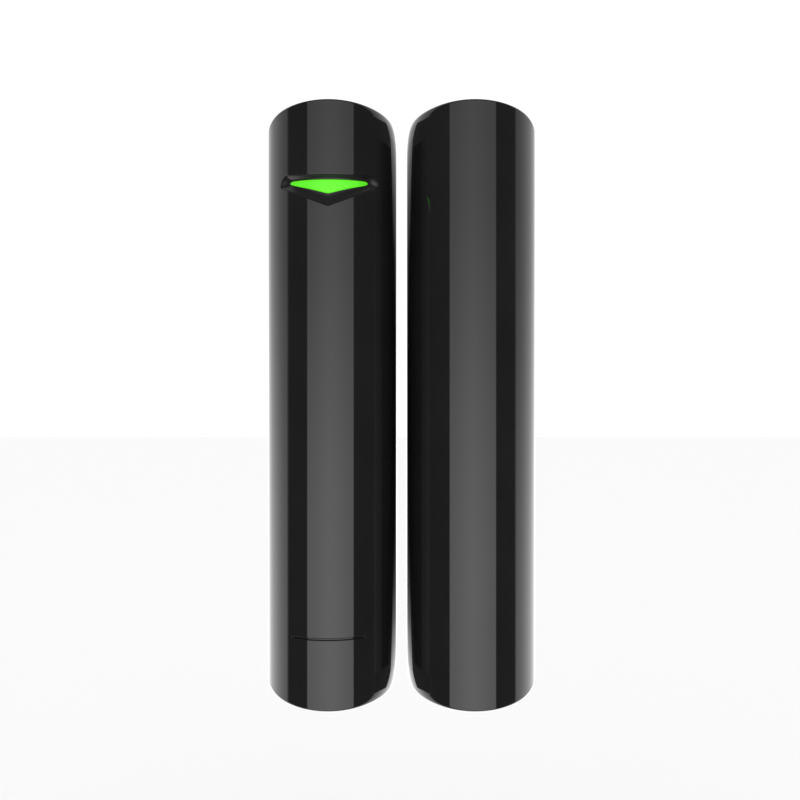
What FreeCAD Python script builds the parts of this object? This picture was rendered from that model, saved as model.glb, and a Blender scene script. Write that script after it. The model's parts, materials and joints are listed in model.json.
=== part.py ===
import FreeCAD, Part
import operator
import os
from types import SimpleNamespace

import Sketcher

# Wireless door contact sensor: a detector unit and a magnet unit, each on its own mounting panel.
# Frame: X to the right, Y towards the wall, Z up. The origin is the centre of the detector
# panel's wall face, and a "depth" is a distance from the wall, so its Y is minus that depth.

DIMENSIONS = {
    # Outer form shared by both units
    "height": 90.0,
    "radius": 10.0,
    "axis_depth": 12.0,
    "unit_pitch": 21.68,
    "shell_back": 2.0,
    "wall": 1.1,
    "cap_thickness": 2.4,
    "crown": 1.5,
    "rim_fillet": 0.5,
    "trim_margin": 1.0,
    # Indicator window, recessed surround and lens
    "window_half": 6.9,
    "window_top": 33.9,
    "window_top_rise": 0.5,
    "window_end_low": 32.4,
    "window_end_rise": 0.4,
    "window_tip": 29.3,
    "window_tip_half": 0.7,
    "window_tip_rise": 0.2,
    "window_edge_rise": 0.16,
    "lens_half": 5.5,
    "lens_top": 33.45,
    "lens_top_rise": 0.06,
    "lens_end_low": 32.58,
    "lens_end_rise": 0.3,
    "lens_tip": 31.0,
    "lens_tip_half": 0.5,
    "lens_tip_rise": 0.12,
    "lens_edge_rise": -0.05,
    "bezel_radius": 9.35,
    "bezel_inner_radius": 8.3,
    "bezel_flange_radius": 8.85,
    "bezel_flange": 0.9,
    "lens_radius": 9.7,
    "lens_inner_radius": 8.6,
    "fit_gap": 0.06,
    "guide_half": 1.2,
    "guide_low": 31.6,
    "guide_high": 33.0,
    "guide_end_depth": 10.1,
    # Debossed bar on the detector's front
    "mark_half_width": 2.2,
    "mark_half_height": 0.5,
    "mark_centre": -34.4,
    "mark_floor_depth": 21.6,
    # Back covers
    "cover_thickness": 1.4,
    "cover_half_width": 8.85,
    "cover_half_height": 42.5,
    "label_half_width": 4.5,
    "label_low": -26.0,
    "label_high": -8.0,
    "label_recess": 0.15,
    "label_thickness": 0.1,
    # Mounting panels and their hooks
    "panel_thickness": 1.9,
    "panel_inset": 0.5,
    "panel_edge": 0.4,
    "screw_hole_radius": 1.7,
    "screw_hole_height": 37.0,
    "countersink": 1.0,
    "hook_height": 30.0,
    "hook_centre": 6.1,
    "hook_width": 1.8,
    "hook_stem": 1.2,
    "hook_lip": 2.0,
    "hook_gap": 0.2,
    "hook_tip_depth": 4.6,
    "unit_travel": 6.0,
    "slot_gap": 0.2,
    "wire_half_width": 3.6,
    "wire_low": 0.5,
    "wire_high": 9.7,
    "pad_thickness": 0.5,
    "pad_gap": 0.1,
    "pad_half_width": 6.4,
    "lower_pad_low": -31.0,
    "lower_pad_high": -5.0,
    "upper_pad_low": 25.4,
    "upper_pad_high": 33.4,
    # Break-away tab of the detector panel, with the ramp that holds the tamper button in
    "tab_half_width": 6.4,
    "tab_low": 11.4,
    "tab_high": 23.4,
    "tab_slot": 0.8,
    "tab_bridge": 0.5,
    "tab_hole_x": 2.8,
    "tab_hole_z": 17.5,
    "ramp_half_width": 1.5,
    "ramp_low": 12.7,
    "ramp_high": 21.6,
    "ramp_slope": 0.09,
    # Circuit board and the parts on it
    "board_back": 8.2,
    "board_thickness": 1.0,
    "board_half_width": 8.0,
    "board_low": -1.5,
    "board_high": 42.0,
    "board_screw_x": 6.0,
    "board_screw_low": 5.0,
    "board_screw_high": 40.0,
    "boss_radius": 1.4,
    "boss_hole_radius": 0.7,
    "boss_hole_length": 4.0,
    "board_hole_radius": 0.85,
    "board_screw_radius": 0.68,
    "board_screw_head_radius": 1.3,
    "board_screw_head": 0.7,
    "board_screw_length": 3.6,
    "driver_slot": 0.3,
    "lamp_half": 0.8,
    "lamp_thickness": 0.7,
    "module_x": 0.4,
    "can_z": 22.5,
    "can_half_width": 4.0,
    "can_half_height": 4.5,
    "can_thickness": 1.8,
    "chip_z": 10.5,
    "chip_half": 2.5,
    "chip_thickness": 0.9,
    "small_half_width": 0.8,
    "small_half_height": 0.4,
    "small_thickness": 0.5,
    "small_pitch": 2.2,
    "small_row_offset": 4.8,
    "small_side_x": 4.2,
    "small_side_offset": 1.1,
    # Switches
    "switch_side": 4.2,
    "switch_height": 2.4,
    "switch_lip": 0.3,
    "switch_chamber_radius": 1.7,
    "switch_chamber_floor": 7.9,
    "button_radius": 1.0,
    "button_clearance": 0.2,
    "flange_radius": 1.45,
    "flange_thickness": 0.45,
    "tamper_x": -3.4,
    "tamper_z": 14.0,
    "tamper_tip_depth": 1.95,
    "tamper_flange_depth": 6.75,
    "power_z": 26.5,
    "power_tip_depth": 2.5,
    "power_flange_depth": 6.2,
    "tamper_spring_radius": 0.8,
    "tamper_spring_wire": 0.1,
    "tamper_spring_pitch": 0.24,
    # Terminal block
    "terminal_pitch": 3.5,
    "terminal_half_width": 3.8,
    "terminal_low": -0.5,
    "terminal_high": 4.7,
    "terminal_face_depth": 3.9,
    "chamber_depth": 4.9,
    "chamber_floor_depth": 7.8,
    "chamber_half_width": 1.4,
    "chamber_low": 0.1,
    "terminal_screw_z": 2.2,
    "screw_shaft_radius": 1.25,
    "screw_head_radius": 1.15,
    "screw_head_depth": 3.95,
    "screw_neck_depth": 4.75,
    "screw_tip_depth": 6.4,
    "screw_shank_radius": 0.7,
    "cage_half_width": 1.2,
    "cage_half_length": 1.3,
    "cage_top_depth": 5.9,
    "cage_bottom_depth": 7.7,
    "cage_wall": 0.4,
    "cage_plate": 0.5,
    "cage_bore_radius": 0.78,
    # Reed switch
    "reed_x": 5.8,
    "reed_depth": 10.9,
    "reed_low": 13.0,
    "reed_high": 25.0,
    "reed_radius": 1.0,
    "reed_bore_radius": 0.7,
    "reed_end": 1.0,
    "blade_half_width": 0.3,
    "blade_thickness": 0.15,
    "blade_gap": 0.02,
    "blade_clearance": 0.06,
    "lower_blade_end": 11.0,
    "lower_blade_tip": 19.6,
    "upper_blade_tip": 18.4,
    "upper_blade_end": 27.0,
    "seal_bead_radius": 0.12,
    # Antenna
    "antenna_x": -5.4,
    "antenna_depth": 12.2,
    "antenna_low": 3.0,
    "antenna_length": 19.2,
    "antenna_pitch": 1.6,
    "antenna_radius": 1.7,
    "antenna_wire": 0.25,
    "antenna_leg_radius": 0.3,
    # Battery and its cradle
    "cell_low": -39.4,
    "cell_high": -4.9,
    "cell_radius": 8.5,
    "sleeve_thickness": 0.1,
    "nub_radius": 3.3,
    "nub_height": 1.0,
    "cradle_low": -42.2,
    "cradle_high": -2.6,
    "cradle_wall": 1.0,
    "cradle_radius": 8.6,
    "cradle_back": 3.6,
    "cradle_rail_inner": 7.7,
    "spring_radius": 3.8,
    "spring_wire": 0.2,
    "spring_pitch": 0.525,
    "spring_height": 1.1,
    "spring_low": -40.85,
    "tab_way": 2.3,
    "leaf_thickness": 0.4,
    "leaf_far": 14.5,
    "strip_thickness": 0.2,
    "strip_near": 4.6,
    "strip_far": 7.2,
    # Magnet and its tray
    "magnet_half_width": 5.0,
    "magnet_half_height": 20.0,
    "magnet_back": 5.3,
    "magnet_front": 10.3,
    "tray_half_width": 7.0,
    "tray_half_height": 22.0,
    "tray_back": 3.6,
    "tray_floor": 5.2,
    "tray_lip_depth": 10.6,
    "tray_front": 11.4,
    "tray_lip": 0.5,
    "tray_gap": 0.1,
}


class Length:
    """A size in millimetres together with the spreadsheet formula that gives it."""

    def __init__(self, value, formula):
        self.value = value
        self.formula = formula

    def joined(self, other, symbol, operate):
        other = as_length(other)
        return Length(operate(self.value, other.value), f"({self.formula} {symbol} {other.formula})")

    def __add__(self, other):
        return self.joined(other, "+", operator.add)

    def __sub__(self, other):
        return self.joined(other, "-", operator.sub)

    def __mul__(self, other):
        return self.joined(other, "*", operator.mul)

    def __truediv__(self, other):
        return self.joined(other, "/", operator.truediv)

    def __neg__(self):
        return self * -1


def as_length(number):
    return number if isinstance(number, Length) else Length(float(number), f"({float(number)})")


doc = FreeCAD.newDocument("door_contact_sensor")
sheet = doc.addObject("Spreadsheet::Sheet", "dimensions")
for row, (alias, number) in enumerate(DIMENSIONS.items(), 1):
    sheet.set(f"A{row}", alias)
    sheet.set(f"B{row}", str(number))
    sheet.setAlias(f"B{row}", alias)
doc.recompute()

lengths = {alias: Length(number, f"dimensions.{alias}") for alias, number in DIMENSIONS.items()}
dim = SimpleNamespace(**lengths)
ZERO = as_length(0)
TOLERANCE = 0.01
sub_parts = []


# Helpers: primitives and booleans

def keep(shape):
    """Registers an object of the document as a finished sub-part."""
    sub_parts.append(shape)
    return shape


def block(label, x, depth, height):
    """Box between two X values, two depths from the wall and two heights."""
    box = doc.addObject("Part::Box", label)
    near, far = (as_length(end) for end in depth)
    spans = {"x": ("Length", x), "y": ("Width", (-far, -near)), "z": ("Height", height)}
    for axis, (edge, (low, high)) in spans.items():
        box.setExpression(edge, (as_length(high) - low).formula)
        box.setExpression(f"Placement.Base.{axis}", as_length(low).formula)
    return box


def centred_block(label, x, height, half_width, half_height, depth):
    """Box centred on one point of the front view."""
    x, height = as_length(x), as_length(height)
    across = (x - half_width, x + half_width)
    return block(label, across, depth, (height - half_height, height + half_height))


def rod(label, x, height, radius, depth):
    """Cylinder square to the wall, between two depths."""
    near, far = (as_length(end) for end in depth)
    cylinder = doc.addObject("Part::Cylinder", label)
    cylinder.Placement = FreeCAD.Placement(FreeCAD.Vector(), FreeCAD.Rotation(FreeCAD.Vector(1, 0, 0), 90))
    cylinder.setExpression("Radius", as_length(radius).formula)
    cylinder.setExpression("Height", (far - near).formula)
    for axis, place in zip("xyz", (as_length(x), -near, as_length(height))):
        cylinder.setExpression(f"Placement.Base.{axis}", place.formula)
    return cylinder


def column(label, x, depth, radius, height):
    """Upright cylinder between two heights."""
    low, high = (as_length(end) for end in height)
    cylinder = doc.addObject("Part::Cylinder", label)
    cylinder.setExpression("Radius", as_length(radius).formula)
    cylinder.setExpression("Height", (high - low).formula)
    for axis, place in zip("xyz", (as_length(x), -as_length(depth), low)):
        cylinder.setExpression(f"Placement.Base.{axis}", place.formula)
    return cylinder


def fuse(label, shapes):
    fusion = doc.addObject("Part::MultiFuse", label)
    fusion.Shapes = shapes
    return fusion


def cut(label, base, tools):
    difference = doc.addObject("Part::Cut", label)
    difference.Base = base
    difference.Tool = tools[0] if len(tools) == 1 else fuse(f"{label}_tools", tools)
    return difference


def coil(label, radius, wire, pitch, length):
    """Round wire wound into a helix about its own Z axis, starting on its own X axis."""
    spine = doc.addObject("Part::Helix", f"{label}_spine")
    for name, size in {"Radius": radius, "Pitch": pitch, "Height": length}.items():
        spine.setExpression(name, size.formula)
    section = doc.addObject("Part::Circle", f"{label}_section")
    section.setExpression("Radius", wire.formula)
    section.Placement = FreeCAD.Placement(FreeCAD.Vector(), FreeCAD.Rotation(FreeCAD.Vector(1, 0, 0), 90))
    section.setExpression("Placement.Base.x", radius.formula)
    sweep = doc.addObject("Part::Sweep", label)
    sweep.Sections = [section]
    sweep.Spine = (spine, ["Edge1"])
    sweep.Solid = True
    sweep.Frenet = True
    return sweep


# Helpers: bodies, sketches and features

def new_body(label):
    body = doc.addObject("PartDesign::Body", label)
    body.Label = label
    return keep(body)


def new_sketch(body, plane, offset=ZERO):
    """Sketch on one of the body's origin planes; on XZ_Plane the offset is a depth."""
    sketch = body.newObject("Sketcher::SketchObject", f"{body.Name}_sketch")
    support = next(feature for feature in body.Origin.OriginFeatures if feature.Role == plane)
    sketch.AttachmentSupport = [(support, "")]
    sketch.MapMode = "FlatFace"
    sketch.setExpression("AttachmentOffset.Base.z", as_length(offset).formula)
    return sketch


def constrain(sketch, length, *terms):
    index = sketch.addConstraint(Sketcher.Constraint(*terms, length.value))
    sketch.setExpression(f"Constraints[{index}]", length.formula)


def fix_point(sketch, geometry, point, x, y):
    """Dimensions one sketch point from the sketch's origin."""
    for kind, axis, place in (("DistanceX", -2, x), ("DistanceY", -1, y)):
        if place.value == 0:
            sketch.addConstraint(Sketcher.Constraint("PointOnObject", geometry, point, axis))
        else:
            constrain(sketch, place, kind, -1, 1, geometry, point)


def add_outline(sketch, corners, rises=None):
    """Closed outline; a side with a rise is an arc, bulging to the right of its travel."""
    corners = [(as_length(x), as_length(y)) for x, y in corners]
    rises = rises or [None] * len(corners)
    sides = []
    for (x, y), (next_x, next_y), rise in zip(corners, corners[1:] + corners[:1], rises):
        start = FreeCAD.Vector(x.value, y.value, 0)
        end = FreeCAD.Vector(next_x.value, next_y.value, 0)
        if rise is None:
            side = sketch.addGeometry(Part.LineSegment(start, end))
        else:
            right = (end - start).cross(FreeCAD.Vector(0, 0, 1)).normalize()
            side = sketch.addGeometry(Part.Arc(start, (start + end) / 2 + right * rise.value, end))
            chord_squared = (next_x - x) * (next_x - x) + (next_y - y) * (next_y - y)
            size = rise if rise.value > 0 else -rise
            constrain(sketch, (chord_squared / 4 + rise * rise) / (size * 2), "Radius", side)
        first = 1 if sketch.getPoint(side, 1).isEqual(start, 1e-6) else 2
        sides.append((side, first, 3 - first))
    for (side, first, _), (before, _, last), (x, y) in zip(sides, sides[-1:] + sides[:-1], corners):
        sketch.addConstraint(Sketcher.Constraint("Coincident", before, last, side, first))
        fix_point(sketch, side, first, x, y)


def add_rectangle(sketch, left, right, low, high):
    add_outline(sketch, [(left, low), (right, low), (right, high), (left, high)])


def add_circle(sketch, x, y, radius):
    x, y, radius = as_length(x), as_length(y), as_length(radius)
    centre = FreeCAD.Vector(x.value, y.value, 0)
    circle = sketch.addGeometry(Part.Circle(centre, FreeCAD.Vector(0, 0, 1), radius.value))
    fix_point(sketch, circle, 3, x, y)
    constrain(sketch, radius, "Radius", circle)


def add_d_profile(sketch, radius, back):
    """Half round towards the room with straight sides back to a given depth, on XY_Plane."""
    sides = [(radius, -dim.axis_depth), (radius, -back), (-radius, -back), (-radius, -dim.axis_depth)]
    corners = [FreeCAD.Vector(x.value, y.value, 0) for x, y in sides]
    front = FreeCAD.Vector(0, -dim.axis_depth.value - radius.value, 0)
    arc = sketch.addGeometry(Part.Arc(corners[3], front, corners[0]))
    lines = [sketch.addGeometry(Part.LineSegment(*pair)) for pair in zip(corners, corners[1:])]
    for previous, current in zip([arc] + lines, lines + [arc]):
        kind = "Tangent" if arc in (previous, current) else "Coincident"
        sketch.addConstraint(Sketcher.Constraint(kind, previous, 2, current, 1))
    for line, kind in zip(lines, ("Vertical", "Horizontal", "Vertical")):
        sketch.addConstraint(Sketcher.Constraint(kind, line))
    fix_point(sketch, arc, 3, ZERO, -dim.axis_depth)
    constrain(sketch, radius, "Radius", arc)
    constrain(sketch, -as_length(back), "DistanceY", -1, 1, lines[1], 1)


def add_feature(body, kind, sketch, length=None, outwards=False, symmetric=False):
    """Pad or Pocket of a sketch; "outwards" turns a pocket to run along the sketch's normal."""
    before = body.Shape.Volume if body.Tip else 0.0
    feature = body.newObject(f"PartDesign::{kind}", f"{body.Name}_{kind.lower()}")
    feature.Profile = sketch
    if length is None:
        feature.Type = "ThroughAll"
    else:
        feature.setExpression("Length", as_length(length).formula)
    feature.Reversed = outwards
    feature.SideType = "Symmetric" if symmetric else "One side"
    doc.recompute()
    change = body.Shape.Volume - before
    if change == 0 or (change > 0) != (kind == "Pad"):
        raise ValueError(f"{feature.Name} changes the volume by {change}")


def dress_edges(body, kind, size, chosen):
    """Fillet or Chamfer on the edges of the body that a test chooses."""
    names = [f"Edge{number}" for number, edge in enumerate(body.Shape.Edges, 1) if chosen(edge)]
    base = body.Tip
    feature = body.newObject(f"PartDesign::{kind}", f"{body.Name}_{kind.lower()}")
    feature.Base = (base, names)
    feature.setExpression("Radius" if kind == "Fillet" else "Size", size.formula)
    body.Tip = feature
    doc.recompute()


def trim_to_cylinder(body, radius, keep_inside):
    """Cuts away what lies outside, or inside, a radius about the unit's upright axis."""
    sketch = new_sketch(body, "XY_Plane", dim.window_top)
    add_circle(sketch, ZERO, -dim.axis_depth, radius)
    if keep_inside:
        reach = dim.radius * 2
        add_rectangle(sketch, -reach, reach, -dim.axis_depth - reach, -dim.axis_depth + reach)
    add_feature(body, "Pocket", sketch, symmetric=True)


def place_beside(body):
    """Moves a piece of the magnet unit from the detector's axis to its own."""
    body.setExpression("Placement.Base.x", dim.unit_pitch.formula)


# Casings

def front_shell(label):
    """Half-round front casing with crowned ends, open at the back."""
    body = new_body(label)
    half = dim.height / 2
    profile = new_sketch(body, "XY_Plane", -half)
    add_d_profile(profile, dim.radius, dim.shell_back)
    add_feature(body, "Pad", profile, dim.height)

    reach = dim.radius + dim.trim_margin
    drop = dim.crown * reach * reach / (dim.radius * dim.radius)
    for side in (1, -1):
        ends = new_sketch(body, "XZ_Plane", dim.axis_depth)
        edge = (half - drop) * side
        beyond = (half + dim.trim_margin) * side
        corners = [(reach, edge), (reach, beyond), (-reach, beyond), (-reach, edge)]
        add_outline(ends, corners, [None, None, None, drop * -side])
        add_feature(body, "Pocket", ends, symmetric=True)

    def on_rim(edge):
        middle = edge.CenterOfMass
        behind = abs(middle.y + dim.shell_back.value) < TOLERANCE
        return abs(middle.z) > half.value - 2 * dim.crown.value and not behind

    dress_edges(body, "Fillet", dim.rim_fillet, on_rim)
    cavity = new_sketch(body, "XY_Plane", dim.cap_thickness - half)
    add_d_profile(cavity, dim.radius - dim.wall, dim.shell_back - dim.trim_margin)
    add_feature(body, "Pocket", cavity, dim.height - dim.cap_thickness * 2, outwards=True)
    return body


def vee_outline(sketch, kind, grow=ZERO):
    """Shallow V of the indicator: a crowned top, rounded ends and a rounded tip below."""
    part = {name: getattr(dim, f"{kind}_{name}") for name in
            ("half", "top", "top_rise", "end_low", "end_rise", "tip", "tip_half", "tip_rise", "edge_rise")}
    end = part["half"] + grow
    high = part["top"] - part["top_rise"] + grow
    low = part["end_low"] - grow
    tip, tip_half = part["tip"] + part["tip_rise"] - grow, part["tip_half"]
    right = [(tip_half, tip), (end, low), (end, high)]
    left = [(-end, high), (-end, low), (-tip_half, tip)]
    rises = ("edge_rise", "end_rise", "top_rise", "end_rise", "edge_rise", "tip_rise")
    add_outline(sketch, right + left, [part[rise] for rise in rises])


def detector_front_shell():
    body = front_shell("detector_front_shell")
    window = new_sketch(body, "XZ_Plane", dim.axis_depth)
    vee_outline(window, "window")
    add_feature(body, "Pocket", window, outwards=True)
    mark = new_sketch(body, "XZ_Plane", dim.mark_floor_depth)
    low, high = dim.mark_centre - dim.mark_half_height, dim.mark_centre + dim.mark_half_height
    add_rectangle(mark, -dim.mark_half_width, dim.mark_half_width, low, high)
    add_feature(body, "Pocket", mark, outwards=True)


def indicator_bezel():
    """Dark recessed surround, held behind the casing wall by a flange."""
    body = new_body("indicator_bezel")
    for grow, radius in ((dim.bezel_flange, dim.bezel_flange_radius), (-dim.fit_gap, dim.bezel_radius)):
        sketch = new_sketch(body, "XZ_Plane", dim.axis_depth)
        vee_outline(sketch, "window", grow)
        add_feature(body, "Pad", sketch, dim.radius)
        trim_to_cylinder(body, radius, keep_inside=True)
    trim_to_cylinder(body, dim.bezel_inner_radius, keep_inside=False)
    opening = new_sketch(body, "XZ_Plane", dim.axis_depth)
    vee_outline(opening, "lens")
    add_feature(body, "Pocket", opening, outwards=True)


def light_guide():
    """Clear lens in the surround with a square stem that reaches back to the lamp."""
    body = new_body("light_guide")
    lens = new_sketch(body, "XZ_Plane", dim.axis_depth)
    vee_outline(lens, "lens", -dim.fit_gap)
    add_feature(body, "Pad", lens, dim.radius)
    trim_to_cylinder(body, dim.lens_radius, keep_inside=True)
    trim_to_cylinder(body, dim.lens_inner_radius, keep_inside=False)
    stem = new_sketch(body, "XZ_Plane", dim.guide_end_depth)
    add_rectangle(stem, -dim.guide_half, dim.guide_half, dim.guide_low, dim.guide_high)
    add_feature(body, "Pad", stem, dim.axis_depth + dim.bezel_radius - dim.guide_end_depth)


def back_cover(label):
    """Plate that closes the back of a casing, with slots for the panel's four hooks."""
    body = new_body(label)
    plate = new_sketch(body, "XZ_Plane", dim.shell_back)
    width, half = dim.cover_half_width, dim.cover_half_height
    add_rectangle(plate, -width, width, -half, half)
    add_feature(body, "Pad", plate, dim.cover_thickness)
    slots = new_sketch(body, "XZ_Plane", dim.shell_back)
    reach = dim.hook_width / 2 + dim.slot_gap
    for side in (-1, 1):
        centre = dim.hook_centre * side
        for level in (-1, 1):
            top = dim.hook_height * level
            low = top - dim.hook_stem - dim.unit_travel - dim.slot_gap
            add_rectangle(slots, centre - reach, centre + reach, low, top + dim.slot_gap)
    add_feature(body, "Pocket", slots, outwards=True)
    return body


def board_screw_places():
    levels = (dim.board_screw_low, dim.board_screw_high)
    return [(dim.board_screw_x * side, z) for side in (-1, 1) for z in levels]


def detector_back_cover():
    """Back cover with the wire window, two button holes, board bosses and a label recess."""
    body = back_cover("detector_back_cover")
    openings = new_sketch(body, "XZ_Plane", dim.shell_back)
    add_rectangle(openings, -dim.wire_half_width, dim.wire_half_width, dim.wire_low, dim.wire_high)
    hole = dim.button_radius + dim.button_clearance
    add_circle(openings, dim.tamper_x, dim.tamper_z, hole)
    add_circle(openings, ZERO, dim.power_z, hole)
    add_feature(body, "Pocket", openings, outwards=True)
    recess = new_sketch(body, "XZ_Plane", dim.shell_back)
    width = dim.label_half_width + dim.slot_gap
    add_rectangle(recess, -width, width, dim.label_low - dim.slot_gap, dim.label_high + dim.slot_gap)
    add_feature(body, "Pocket", recess, dim.label_recess, outwards=True)
    inner_face = dim.shell_back + dim.cover_thickness
    bosses = new_sketch(body, "XZ_Plane", inner_face)
    holes = new_sketch(body, "XZ_Plane", dim.board_back)
    for x, z in board_screw_places():
        add_circle(bosses, x, z, dim.boss_radius)
        add_circle(holes, x, z, dim.boss_hole_radius)
    add_feature(body, "Pad", bosses, dim.board_back - inner_face)
    add_feature(body, "Pocket", holes, dim.boss_hole_length)


# Mounting panels

def mounting_panel(label):
    """Flat wall plate with crowned ends, two countersunk holes and four upward hooks."""
    body = new_body(label)
    plate = new_sketch(body, "XZ_Plane")
    width = dim.radius - dim.panel_inset
    edge = dim.height / 2 - dim.panel_inset - dim.crown
    corners = [(-width, -edge), (width, -edge), (width, edge), (-width, edge)]
    add_outline(plate, corners, [dim.crown, None, dim.crown, None])
    add_feature(body, "Pad", plate, dim.panel_thickness)

    def on_front_outline(edge):
        return abs(edge.CenterOfMass.y + dim.panel_thickness.value) < TOLERANCE

    dress_edges(body, "Chamfer", dim.panel_edge, on_front_outline)
    for side in (-1, 1):
        for level in (-1, 1):
            hook = new_sketch(body, "YZ_Plane", dim.hook_centre * side - dim.hook_width / 2)
            top = dim.hook_height * level
            low = top - dim.hook_stem
            inner_face = dim.shell_back + dim.cover_thickness + dim.hook_gap
            root = -dim.panel_thickness / 2
            corners = [(root, low), (root, top), (-inner_face, top), (-inner_face, top + dim.hook_lip),
                       (-dim.hook_tip_depth, top + dim.hook_lip), (-dim.hook_tip_depth, low)]
            add_outline(hook, corners)
            add_feature(body, "Pad", hook, dim.hook_width)
    drill_screw_holes(body, [(ZERO, dim.screw_hole_height), (ZERO, -dim.screw_hole_height)])
    recesses = new_sketch(body, "XZ_Plane")
    gap = dim.pad_gap
    width = dim.pad_half_width + gap
    for low, high in pad_levels():
        add_rectangle(recesses, -width, width, low - gap, high + gap)
    add_feature(body, "Pocket", recesses, dim.pad_thickness, outwards=True)
    return body


def pad_levels():
    return [(dim.lower_pad_low, dim.lower_pad_high), (dim.upper_pad_low, dim.upper_pad_high)]


def adhesive_pads(label, centre):
    """Two foam tape pads, flush with the wall face in the panel's recesses."""
    across = (centre - dim.pad_half_width, centre + dim.pad_half_width)
    pads = [block(f"{label}_{number}", across, (ZERO, dim.pad_thickness), levels)
            for number, levels in enumerate(pad_levels())]
    keep(fuse(label, pads))


def drill_screw_holes(body, places):
    """Through holes for wall screws, countersunk from the front face."""
    holes = new_sketch(body, "XZ_Plane")
    for x, z in places:
        add_circle(holes, x, z, dim.screw_hole_radius)
    add_feature(body, "Pocket", holes, outwards=True)

    def on_front_rim(edge):
        middle = edge.CenterOfMass
        centred = any(abs(middle.x - x.value) + abs(middle.z - z.value) < TOLERANCE for x, z in places)
        return centred and abs(middle.y + dim.panel_thickness.value) < TOLERANCE

    dress_edges(body, "Chamfer", dim.countersink, on_front_rim)


def detector_mounting_panel():
    """Wall plate with a wire opening and a perforated tab that stays on the wall if prised."""
    body = mounting_panel("detector_mounting_panel")
    openings = new_sketch(body, "XZ_Plane")
    add_rectangle(openings, -dim.wire_half_width, dim.wire_half_width, dim.wire_low, dim.wire_high)
    width, slot, bridge = dim.tab_half_width, dim.tab_slot, dim.tab_bridge
    middle = (dim.tab_low + dim.tab_high) / 2
    for side in (-1, 1):
        for z in (dim.tab_low, dim.tab_high - slot):
            inner, outer = bridge * side, (width - slot - bridge) * side
            left, right = sorted((inner, outer), key=lambda length: length.value)
            add_rectangle(openings, left, right, z, z + slot)
        left, right = sorted((width * side, (width - slot) * side), key=lambda length: length.value)
        add_rectangle(openings, left, right, dim.tab_low + slot, middle - bridge)
        add_rectangle(openings, left, right, middle + bridge, dim.tab_high - slot)
    add_feature(body, "Pocket", openings, outwards=True)
    drill_screw_holes(body, [(dim.tab_hole_x, dim.tab_hole_z)])

    ramp = new_sketch(body, "YZ_Plane", dim.tamper_x)
    face = -dim.panel_thickness
    clear = face - dim.trim_margin
    floor = face + dim.ramp_slope * (dim.ramp_high - dim.ramp_low)
    low, high = dim.ramp_low, dim.ramp_high
    add_outline(ramp, [(clear, low), (face, low), (floor, high), (clear, high)])
    add_feature(body, "Pocket", ramp, dim.ramp_half_width * 2, symmetric=True)


# Circuit board and its components

def circuit_board():
    body = new_body("circuit_board")
    outline = new_sketch(body, "XZ_Plane", dim.board_back)
    add_rectangle(outline, -dim.board_half_width, dim.board_half_width, dim.board_low, dim.board_high)
    add_feature(body, "Pad", outline, dim.board_thickness)
    holes = new_sketch(body, "XZ_Plane", dim.board_back)
    for x, z in board_screw_places():
        add_circle(holes, x, z, dim.board_hole_radius)
    add_feature(body, "Pocket", holes, outwards=True)


def board_screws():
    """Four slotted screws that hold the board on the back cover's bosses, as one group."""
    face = dim.board_back + dim.board_thickness
    tip = face - dim.board_screw_length
    screws = []
    for number, (x, z) in enumerate(board_screw_places()):
        head_end = face + dim.board_screw_head
        shank = rod(f"board_screw_shank_{number}", x, z, dim.board_screw_radius, (tip, head_end))
        head = rod(f"board_screw_head_{number}", x, z, dim.board_screw_head_radius, (face, head_end))
        slot = centred_block(f"board_screw_slot_{number}", x, z, dim.board_screw_head_radius,
                             dim.driver_slot / 2, (head_end - dim.driver_slot, head_end))
        solid = fuse(f"board_screw_solid_{number}", [shank, head])
        screws.append(cut(f"board_screw_{number}", solid, [slot]))
    keep(fuse("board_screws", screws))


def board_components():
    """Soldered parts on the front of the board: lamp, radio, processor and small parts."""
    face = dim.board_back + dim.board_thickness
    x, chip_z = dim.module_x, dim.chip_z
    lamp_z = (dim.guide_low + dim.guide_high) / 2
    keep(centred_block("status_led", ZERO, lamp_z, dim.lamp_half, dim.lamp_half,
                       (face, face + dim.lamp_thickness)))
    keep(centred_block("radio_shield_can", x, dim.can_z, dim.can_half_width, dim.can_half_height,
                       (face, face + dim.can_thickness)))
    keep(centred_block("microcontroller", x, chip_z, dim.chip_half, dim.chip_half,
                       (face, face + dim.chip_thickness)))
    places = [(x + dim.small_pitch * column, chip_z + dim.small_row_offset * row)
              for row in (-1, 1) for column in (-1, 0, 1)]
    places += [(dim.small_side_x, chip_z + dim.small_side_offset * row) for row in (-1, 1)]
    small = [centred_block(f"small_part_{number}", *place, dim.small_half_width, dim.small_half_height,
                           (face, face + dim.small_thickness))
             for number, place in enumerate(places)]
    keep(fuse("board_passives", small))


def helical_antenna():
    """Wound wire antenna standing off the board on one straight leg."""
    winding = coil("antenna_winding", dim.antenna_radius, dim.antenna_wire, dim.antenna_pitch,
                   dim.antenna_length)
    for axis, place in zip("xyz", (dim.antenna_x, -dim.antenna_depth, dim.antenna_low)):
        winding.setExpression(f"Placement.Base.{axis}", place.formula)
    leg = rod("antenna_leg", dim.antenna_x + dim.antenna_radius, dim.antenna_low, dim.antenna_leg_radius,
              (dim.board_back + dim.board_thickness, dim.antenna_depth + dim.antenna_wire))
    keep(fuse("helical_antenna", [winding, leg]))


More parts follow.
